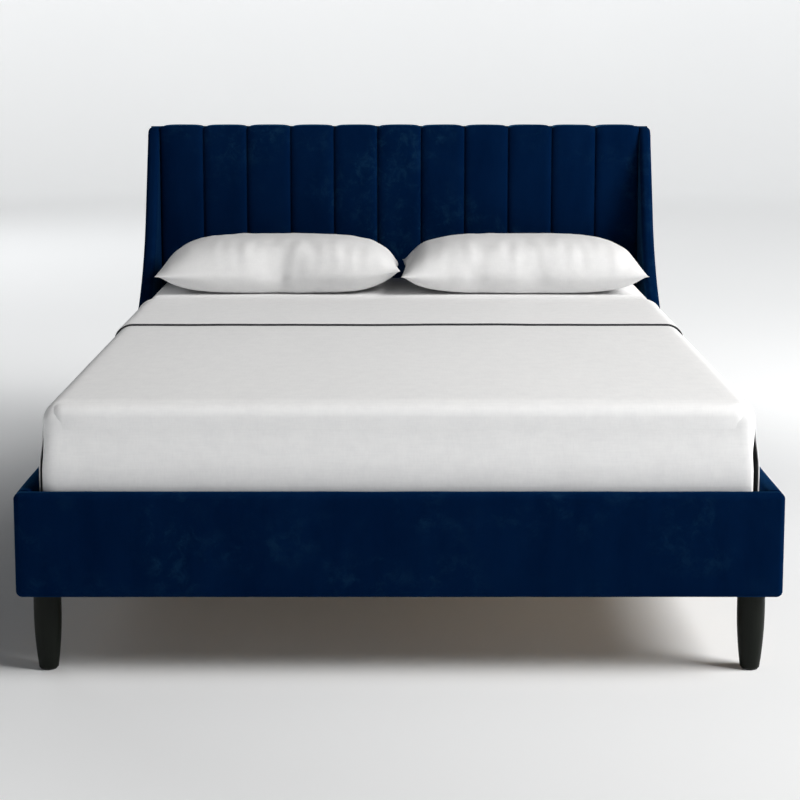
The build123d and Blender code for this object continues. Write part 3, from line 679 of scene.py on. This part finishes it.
def make_side_rails(materials):
    """Padded velvet covers of the side rails, open along the strip that the cleats lie on."""
    for side, sign in (("left", -1), ("right", 1)):
        node = f"side_rail_cover_{side}"
        lo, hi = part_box(node)
        centre, half = (lo.x + hi.x) / 2, (hi.x - lo.x) / 2
        stations, insets = sweep_stations(lo.y, hi.y, 0.0025, 0.03)
        notches = [0.0072] * len(stations)

        def place(across, along, up, centre=centre, sign=sign):
            return (centre + sign * across, along, up)

        loops = rail_loops(half, lo.z, hi.z, stations, insets, notches, place, 2.0 + sign)
        points, faces = tube(loops)
        rail = make_piece(node + "_velvet", points, faces, [materials["navy_velvet"]])
        attach(rail, "frame", "navy_velvet", node)


def make_footboard(materials):
    """The full-width footboard cover with soft rounded ends."""
    node = "footboard_cover"
    lo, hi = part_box(node)
    inner_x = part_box("side_rail_cover_right")[0].x
    centre, half = (lo.y + hi.y) / 2, (hi.y - lo.y) / 2
    stations, insets = sweep_stations(lo.x, hi.x, RAIL_ROUNDING, 0.03)
    notches = [0.0072 if abs(x) < inner_x else 0.0 for x in stations]

    def place(across, along, up):
        return (along, centre - across, up)

    loops = rail_loops(half, lo.z, hi.z, stations, insets, notches, place, 6.0)
    points, faces = tube(loops)
    board = make_piece(node + "_velvet", points, faces, [materials["navy_velvet"]])
    attach(board, "frame", "navy_velvet", node)


# ================= Mattress and fitted sheet =================


def rounded_ring(half_x, low_y, high_y, corner, z, per_side=24, per_corner=7):
    """A ring of points round a rectangle with rounded corners at one height."""
    ring = []
    right, left = half_x - corner, corner - half_x
    corners = [
        ((right, high_y - corner), 0.0),
        ((left, high_y - corner), 90.0),
        ((left, low_y + corner), 180.0),
        ((right, low_y + corner), 270.0),
    ]
    for index, (centre, start) in enumerate(corners):
        bend = arc(centre, corner, start, start + 90.0, per_corner)
        ring += bend
        following, following_start = corners[(index + 1) % 4]
        goal = arc(following, corner, following_start, following_start + 90.0, per_corner)[0]
        last = bend[-1]
        for share in spread(0.0, 1.0, per_side)[1:-1]:
            ring.append((last[0] + (goal[0] - last[0]) * share, last[1] + (goal[1] - last[1]) * share))
    return [(x, y, z) for x, y in ring]


def box_rings(lo, hi, corner, edge, bulge, seed):
    """Rings round a soft box, from the middle of its underside to the middle of its top."""
    levels = []
    for inset in (0.60, 0.40, 0.20, 0.08):
        levels.append((inset, lo.z))
    for angle in spread(0.0, 90.0, 7):
        a = math.radians(angle)
        levels.append((edge * (1.0 - math.sin(a)), lo.z + edge * (1.0 - math.cos(a))))
    for share in spread(0.0, 1.0, 8)[1:-1]:
        levels.append((-bulge * math.sin(math.pi * share), lo.z + edge + (hi.z - lo.z - 2 * edge) * share))
    for angle in spread(0.0, 90.0, 7):
        a = math.radians(angle)
        levels.append((edge * (1.0 - math.cos(a)), hi.z - edge * (1.0 - math.sin(a))))
    for inset in (0.08, 0.20, 0.40, 0.60):
        levels.append((inset, hi.z))
    rings = []
    for inset, z in levels:
        round_by = max(corner - inset, 0.02)
        rings.append(rounded_ring(hi.x - inset, lo.y + inset, hi.y - inset, round_by, z))
    return rings


def make_mattress(materials):
    """A ticking-covered mattress with soft rounded edges."""
    lo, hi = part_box("mattress")
    inside_lo, inside_hi = lo + Vector((0.0, 0.0, 0.0004)), hi - Vector((0.0, 0.0, 0.0008))
    rings = box_rings(inside_lo, inside_hi, 0.040, 0.025, -0.001, 0.0)
    points, faces = tube(rings)
    mattress = make_piece("mattress_ticking", points, faces, [materials["ticking"]])
    attach(mattress, "mattress", "ticking", "mattress")


def make_fitted_sheet(materials):
    """The fitted sheet, drawn over the mattress and gathered under its lower edge."""
    lo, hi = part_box("fitted_sheet")
    rings = box_rings(lo, hi, 0.0415, 0.0265, -0.0005, 0.0)
    rings = rings[3:]
    points = [p for ring in rings for p in ring]
    faces = quads(len(rings), len(rings[0]), wrap=True)
    faces.append(tuple(range(len(points) - len(rings[0]), len(points))))
    sheet = make_piece("fitted_sheet_cotton", points, faces, [materials["white_sheet"]])
    solid = sheet.modifiers.new("thickness", "SOLIDIFY")
    solid.thickness = 0.0009
    solid.offset = -1.0
    attach(sheet, "mattress", "white_sheet", "fitted_sheet")


# ================= Coverlet and turned-down sheet =================


def bed_wave(x, y):
    """The soft unevenness of the made bed's top, shared by every layer on it."""
    return ripple((x, y, 0.0), 0.42, 0.0030, 11.0) + ripple((x, y, 0.0), 0.11, 0.0007, 4.0)


def drop_profile(travel):
    """How far out and down the cloth is, after travelling a distance past the flat top."""
    bend = BED_SHOULDER * math.pi / 2
    if travel < bend:
        a = travel / BED_SHOULDER
        return BED_SHOULDER * math.sin(a), BED_SHOULDER * (1.0 - math.cos(a))
    down = travel - bend
    flare = BED_FLARE * smooth_step(down / FLARE_DROP)
    return BED_SHOULDER + flare, BED_SHOULDER + down


def coverlet_stations(inner_x, foot_y, head_y):
    """Stations round the coverlet's edge as (x, y, angle outwards, panel, share of the corner)."""
    stations = []
    for y in spread(head_y, foot_y, 66):
        stations.append((-inner_x, y, 180.0, "side", -1, 0.0))
    for share in spread(0.0, 1.0, 6)[1:]:
        stations.append((-inner_x, foot_y, 180.0 + SPLIT_ANGLE * share, "side", -1, share))
    for share in spread(0.0, 1.0, 8):
        angle = 180.0 + SPLIT_ANGLE + (90.0 - SPLIT_ANGLE) * share
        stations.append((-inner_x, foot_y, angle, "front", -1, 1.0 - share))
    for x in spread(-inner_x, inner_x, 60)[1:-1]:
        stations.append((x, foot_y, 270.0, "front", 1 if x > 0 else -1, 0.0))
    left = [s for s in stations if s[0] == -inner_x]
    for x, y, angle, panel, _, share in reversed(left):
        stations.append((-x, y, 540.0 - angle, panel, 1, share))
    return stations


def split_shift(panel, hand, share, opening):
    """Degrees that an edge of the corner split has moved away from the cut."""
    if panel == "side":
        return -(SPLIT_ANGLE - SPLIT_SIDE_ANGLE) * share * opening
    return (SPLIT_FRONT_ANGLE[hand] - SPLIT_ANGLE) * share * opening


def make_coverlet(materials):
    """White coverlet with a charcoal reverse, tucked down all round and split at its foot corners."""
    lo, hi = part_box("coverlet")
    inner_x = hi.x - BED_SHOULDER - BED_FLARE
    foot_y = lo.y + BED_SHOULDER + BED_FLARE * 0.8
    head_y = hi.y
    top_z = hi.z
    length = BED_SHOULDER * math.pi / 2 + (top_z - BED_SHOULDER - TUCK_Z)
    travels = spread(0.0, BED_SHOULDER * math.pi / 2, 10) + spread(BED_SHOULDER * math.pi / 2, length, 16)[1:]
    split_from = BED_SHOULDER * math.pi / 2 * 0.95
    stations = coverlet_stations(inner_x, foot_y, head_y)
    points = []
    for travel in travels:
        opening = smooth_step((travel - split_from) / 0.08) ** 0.8 if travel > split_from else 0.0
        for x, y, angle, panel, hand, share in stations:
            turned = angle
            if share:
                shift = split_shift(panel, hand, share, opening)
                turned = angle + (shift if hand < 0 else -shift)
            out, down = drop_profile(travel)
            across, along = math.cos(math.radians(turned)), math.sin(math.radians(turned))
            power = CORNER_SQUARENESS
            square = (abs(across) ** power + abs(along) ** power) ** (-1.0 / power)
            direction = square * Vector((across, along))
            sway = ripple((x, y, travel * 0.5), 0.16, 0.0022, 9.0) * smooth_step((travel - 0.07) / 0.08)
            z = top_z - down + bed_wave(x, y) * max(0.0, 1.0 - travel / 0.08)
            spot = Vector((x, y)) + direction * (out - abs(sway))
            points.append((spot.x, spot.y, z))
    count = len(stations)
    faces = []
    for i in range(len(travels) - 1):
        for j in range(count - 1):
            if stations[j][3] != stations[j + 1][3]:
                continue
            faces.append((i * count + j, i * count + j + 1, (i + 1) * count + j + 1, (i + 1) * count + j))
    first = len(points)
    columns, rows = spread(-inner_x, inner_x, 60), spread(head_y, foot_y, 66)
    for y in rows:
        for x in columns:
            points.append((x, y, top_z + bed_wave(x, y)))
    faces += quads(len(rows), len(columns), first=first)
    slots = [materials["white_coverlet"], materials["charcoal"]]
    cover = make_piece("coverlet_cloth", points, faces, slots, 1e-6)
    solid = cover.modifiers.new("thickness", "SOLIDIFY")
    solid.thickness = COVERLET_THICKNESS
    solid.offset = -1.0
    solid.material_offset = 1
    attach(cover, "mattress", "white_coverlet", "coverlet")


def cross_path(inner_x, top_z, bottom_z):
    """Points, normals and travel across the bed, from one side's drop over the top to the other's."""
    length = BED_SHOULDER * math.pi / 2 + (top_z - BED_SHOULDER - bottom_z)
    half = [(0.0, 0.0)]
    path = []
    travels = spread(0.0, BED_SHOULDER * math.pi / 2, 10) + spread(BED_SHOULDER * math.pi / 2, length, 8)[1:]
    for travel in travels[1:]:
        out, down = drop_profile(travel)
        ahead = drop_profile(travel + 0.0005)
        normal = Vector((ahead[1] - down, ahead[0] - out)).normalized()
        half.append((out, down, normal, travel))
    for out, down, normal, travel in reversed(half[1:]):
        path.append((-inner_x - out, top_z - down, -normal.x, normal.y, travel))
    for x in spread(-inner_x, inner_x, 60):
        path.append((x, top_z, 0.0, 1.0, 0.0))
    for out, down, normal, travel in half[1:]:
        path.append((inner_x + out, top_z - down, normal.x, normal.y, travel))
    return path


def layer(name, section, inner_x, top_z, bottom_z, material, seam_wave):
    """A closed layer of cloth over the bed whose section is given as (y, height above the coverlet)."""
    loops = []
    for x, z, normal_x, normal_z, travel in cross_path(inner_x, top_z, bottom_z):
        loop = []
        for y, height in section:
            sway = seam_wave * ripple((x, travel, 0.0), 0.25, 1.0, 13.0) * smooth_step((0.25 - y) / 0.2)
            lift = bed_wave(x, y) * max(0.0, 1.0 - travel / 0.08)
            loop.append((x + normal_x * height, y + sway, z + normal_z * height + lift))
        loops.append(loop)
    points, faces = tube(loops)
    return make_piece(name, points, faces, [material])


def make_turn_down(materials):
    """The coverlet's charcoal reverse, turned back, and the white sheet folded over it."""
    lo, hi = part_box("coverlet")
    sheet_foot, head_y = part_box("top_sheet")[0].y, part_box("top_sheet")[1].y
    inner_x = hi.x - BED_SHOULDER - BED_FLARE
    foot = sheet_foot - 0.004
    high = PIPE_HEIGHT
    edge_steps = [0.002, 0.004, 0.008, 0.016, 0.03, 0.06]
    nose = []
    for a in spread(0, math.pi, 9):
        nose.append((foot + 0.0022 - 0.0022 * math.sin(a), high / 2 - high / 2 * math.cos(a)))
    body = [(foot + s, high) for s in edge_steps]
    body += [(y, high) for y in spread(foot + 0.09, head_y - 0.012, 24)]
    under = [(y, 0.0003) for y in spread(head_y - 0.012, foot + 0.03, 12)]
    section = nose + body + under
    fold = layer("coverlet_turn_back", section, inner_x, hi.z, TURN_DOWN_Z, materials["charcoal"], 0.0012)
    attach(fold, "mattress", "white_coverlet")
    foot = sheet_foot
    low, high = PIPE_HEIGHT + 0.0001, TOP_SHEET_HEIGHT
    section = [(foot + 0.0004, low), (foot, (low + high) / 2), (foot + 0.0005, high)]
    section += [(foot + s, high) for s in edge_steps]
    section += [(y, high) for y in spread(foot + 0.09, head_y - 0.05, 22)]
    crest = [(-0.036, 0.15), (-0.026, 0.6), (-0.018, 1.0), (-0.011, 0.9), (-0.006, 0.2)]
    section += [(head_y + y, high + rise * CREST_RISE) for y, rise in crest]
    section += [(head_y - 0.0025, high - 0.0020), (head_y - 0.0004, high - 0.0055)]
    section += [(head_y, high - 0.0085), (head_y - 0.0010, -0.0046)]
    section += [(head_y - 0.0032, -0.0046), (head_y - 0.0030, high - 0.0070), (head_y - 0.0060, low)]
    section += [(y, low) for y in spread(head_y - 0.012, foot + 0.03, 12)]
    bottom_z = TURN_DOWN_Z - 0.002
    sheet = layer("top_sheet_cotton", section, inner_x, hi.z, bottom_z, materials["white_sheet"], 0.0012)
    attach(sheet, "mattress", "white_sheet", "top_sheet")


# ================= Pillows =================


def pillow_blank(seed):
    """A flat pillow before it is filled: two faces joined round their edge."""
    half_x, half_y = PILLOW_SIZE[0] / 2 * 1.04, PILLOW_SIZE[1] / 2 * 1.05
    columns, rows = 56, 34
    points, faces = [], []
    top, bottom = {}, {}
    for i in range(rows + 1):
        for j in range(columns + 1):
            x, y = -half_x + 2 * half_x * j / columns, -half_y + 2 * half_y * i / rows
            rim = i in (0, rows) or j in (0, columns)
            swell = 0.012 * (1 - (x / half_x) ** 4) * (1 - (y / half_y) ** 4)
            rough = ripple((x, y, 0.0), 0.06, 0.003, seed)
            top[i, j] = len(points)
            points.append((x, y, 0.0 if rim else swell + rough))
            bottom[i, j] = top[i, j]
            if not rim:
                bottom[i, j] = len(points)
                points.append((x, y, -swell + rough))
    for i in range(rows):
        for j in range(columns):
            square = ((i, j), (i, j + 1), (i + 1, j + 1), (i + 1, j))
            faces.append(tuple(top[k] for k in square))
            faces.append(tuple(bottom[k] for k in reversed(square)))
    return points, faces


def fill_pillow(pillow):
    """Blow the blank up as cloth under pressure, then keep the result."""
    cloth = pillow.modifiers.new("filling", "CLOTH")
    settings = cloth.settings
    settings.quality = 8
    settings.mass = 0.2
    settings.tension_stiffness = 30.0
    settings.compression_stiffness = 20.0
    settings.shear_stiffness = 5.0
    settings.bending_stiffness = 0.8
    settings.use_pressure = True
    settings.uniform_pressure_force = PILLOW_PRESSURE
    settings.effector_weights.gravity = 0.0
    cloth.collision_settings.use_collision = False
    scene = bpy.context.scene
    cloth.point_cache.frame_end = PILLOW_FRAMES
    for step in range(1, PILLOW_FRAMES + 1):
        scene.frame_set(step)
    graph = bpy.context.evaluated_depsgraph_get()
    filled = bpy.data.meshes.new_from_object(pillow.evaluated_get(graph))
    pillow.modifiers.clear()
    pillow.data = filled
    scene.frame_set(1)


def shape_pillow(pillow, blank, box_low, box_high, seam_z, shift, corners, seed):
    """Fit the filled pillow to its place: full, flat where it rests, soft folds down its sides."""
    work = bmesh.new()
    work.from_mesh(pillow.data)
    raised = [v for v in work.verts if abs(v.co.z) > 0.004]
    for _ in range(PILLOW_SMOOTHING):
        bmesh.ops.smooth_vert(work, verts=work.verts, factor=0.5, use_axis_z=True)
        bmesh.ops.smooth_vert(work, verts=raised, factor=0.5, use_axis_x=True, use_axis_y=True)
    work.to_mesh(pillow.data)
    work.free()
    vertices = pillow.data.vertices
    low = Vector([min(v.co[k] for v in vertices) for k in range(3)])
    high = Vector([max(v.co[k] for v in vertices) for k in range(3)])
    centre = (box_low + box_high) / 2
    size = box_high - box_low
    up, down = box_high.z - seam_z, seam_z - box_low.z
    half_x, half_y = max(p[0] for p in blank), max(p[1] for p in blank)
    for v, cut in zip(vertices, blank):
        across = PILLOW_DRAW * 2 * v.co.x / (high.x - low.x) + (1.0 - PILLOW_DRAW) * cut[0] / half_x
        along = PILLOW_DRAW * 2 * v.co.y / (high.y - low.y) + (1.0 - PILLOW_DRAW) * cut[1] / half_y
        spot = Vector((centre.x + across * size.x / 2 + shift, centre.y + along * size.y / 2, seam_z))
        share = v.co.z / (high.z if v.co.z > 0 else low.z)
        full = math.tanh(PILLOW_FULLNESS * share) / math.tanh(PILLOW_FULLNESS)
        lengthwise = max(0.0, 1.0 - abs(across) ** 4) ** 0.65
        crosswise = max(0.0, 1.0 - abs(along) ** 2.6) ** 0.55
        spot.z += up * full * lengthwise * crosswise if v.co.z > 0 else -down * full * lengthwise
        steep = 4.0 * share * (1.0 - share) * (1.0 if v.co.z > 0 else 0.5)
        fold = ripple((spot.x, spot.y * 0.3, 0.0), PILLOW_FOLD_SIZE, PILLOW_FOLD_HEIGHT, seed) * steep
        spot.y += fold * (1.0 if along > 0 else -1.0)
        spot.z += fold * 0.7 if v.co.z > 0 else 0.0
        for (side, end), move in corners.items():
            weight = smooth_step((across * side - 0.60) / 0.40) * smooth_step((along * end - 0.2) / 0.8)
            spot += weight * Vector(move)
        v.co = spot


def make_pillows(materials):
    """Two filled pillows in plain cases, lying flat with their seams at mid height."""
    for index, side in enumerate(("left", "right")):
        lo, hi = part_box(f"pillowcase_{side}")
        seam_z = lo.z + PILLOW_SINK
        points, faces = pillow_blank(3.0 + 8.0 * index)
        pillow = make_piece(f"pillow_{side}_case", points, faces, [materials["pillowcase_cotton"]])
        fill_pillow(pillow)
        shift, corners = PILLOW_SHIFT[side], PILLOW_CORNERS[side]
        shape_pillow(pillow, points, lo, hi, seam_z, shift, corners, 5.0 + 9.0 * index)
        smoother = pillow.modifiers.new("smoothing", "SUBSURF")
        smoother.levels = smoother.render_levels = 1
        attach(pillow, f"pillow_{side}", "pillowcase_cotton", f"pillowcase_{side}", f"pillow_insert_{side}")


# ================= Slat straps =================


def make_straps(materials):
    """Two webbing straps that run along the bed over the slats."""
    lo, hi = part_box("slat_straps")
    wide = 0.025
    for side, x in (("left", lo.x + wide / 2), ("right", hi.x - wide / 2)):
        loops = []
        for y in spread(lo.y, hi.y, 130):
            section = [(-1.0, 0.0), (-1.0, 1.0), (-0.9, 1.12), (0.9, 1.12), (1.0, 1.0), (1.0, 0.0)]
            height = (hi.z - lo.z) * 0.9
            loops.append([(x + a * wide / 2, y, lo.z + b * height * 0.85) for a, b in section])
        points, faces = tube(loops)
        strap = make_piece(f"slat_strap_{side}", points, faces, [materials["webbing"]])
        attach(strap, "frame", "webbing", "slat_straps")


# ================= Floor and lights =================


def make_stage():
    """A pale floor that curves up into a low wall all round, well clear of the bed, painted with glowing
    light that grows stronger away from the bed.
    """
    shader = Shader("studio_floor", 0.9, Specular_IOR_Level=0.0, Emission_Color=(0.985, 0.995, 1.0, 1.0))
    tone = shader.noise(0.4, 2.0)
    shader.colour(shader.ramp(tone, [(0.3, (0.81, 0.82, 0.83)), (0.7, (0.84, 0.85, 0.86))]))
    # Painted light: the floor and wall glow, not at all within about 1.3 m of the bed, rising to FLOOR_GLOW
    # by about 2.7 m, with BACKDROP_GLOW added out to about 8.5 m.
    nearness = shader.nodes.new("ShaderNodeTexGradient")
    nearness.gradient_type = "SPHERICAL"
    shader.links.new(shader.stretched((0.1, 0.1, 0.0), (-0.03, 0.04, 0.0)), nearness.inputs["Vector"])
    near = shader.math("MULTIPLY", shader.step(nearness.outputs["Fac"], 0.87, 0.73), FLOOR_GLOW)
    far = shader.math("MULTIPLY", shader.step(nearness.outputs["Fac"], 0.75, 0.15), BACKDROP_GLOW)
    glow = shader.math("ADD", near, far)
    shader.links.new(glow, shader.surface.inputs["Emission Strength"])
    flat, bend, wall = 11.0, 2.5, 3.2
    rings = [(r, 0.0) for r in (0.5, 1.5, 3.0, 5.0, 8.0, flat)]
    for angle in spread(0.0, math.pi / 2, 14)[1:]:
        rings.append((flat + bend * math.sin(angle), bend * (1.0 - math.cos(angle))))
    rings.append((flat + bend, wall))
    count = 96
    points = []
    for radius, z in rings:
        for step in range(count):
            a = 2 * math.pi * step / count
            points.append((radius * math.cos(a), radius * math.sin(a), z - 0.0002))
    faces = quads(len(rings), count, wrap=True)
    faces.append(tuple(range(count)))
    floor = make_piece("studio_floor", points, faces, [shader.material])
    for polygon in floor.data.polygons:
        if polygon.normal.z < -0.5:
            floor.data.flip_normals()
            break


def area_light(name, place, target, size, power, colour):
    data = bpy.data.lights.new(name, "AREA")
    data.shape = "RECTANGLE"
    data.size, data.size_y = size
    data.energy = power
    data.color = colour
    light = bpy.data.objects.new(name, data)
    light.location = place
    aim = Vector(target) - Vector(place)
    light.rotation_euler = aim.to_track_quat("-Z", "Y").to_euler()
    bpy.context.scene.collection.objects.link(light)


def make_lights():
    """A large soft key from the upper right, weak fills in front and behind, a faint surround."""
    world = bpy.data.worlds.new("studio")
    world.use_nodes = True
    background = world.node_tree.nodes["Background"]
    background.inputs["Color"].default_value = (0.96, 0.98, 1.0, 1.0)
    background.inputs["Strength"].default_value = WORLD_LIGHT
    bpy.context.scene.world = world
    area_light("key", KEY_PLACE, (0.0, -0.1, 0.3), (KEY_SIZE, KEY_SIZE), KEY_POWER, (1.0, 0.99, 0.975))
    area_light("front_fill", (0.8, -6.5, 3.2), (0.0, 0.0, 0.4), (4.0, 2.5), FILL_POWER, (0.96, 0.98, 1.0))
    area_light("rear_fill", (-4.5, 6.5, 3.6), (0.0, 0.6, 0.4), (4.0, 2.5), REAR_FILL_POWER, (0.96, 0.98, 1.0))
    settings = bpy.context.scene.view_settings
    settings.view_transform = "Standard"


# ================= The bed =================

make_camera()
finishes = make_materials()
dress_cad_nodes(finishes)
make_channel_pads(finishes)
make_headboard_back(finishes)
make_wings(finishes)
make_side_rails(finishes)
make_footboard(finishes)
make_mattress(finishes)
make_fitted_sheet(finishes)
make_coverlet(finishes)
make_turn_down(finishes)
make_pillows(finishes)
make_straps(finishes)
make_stage()
make_lights()
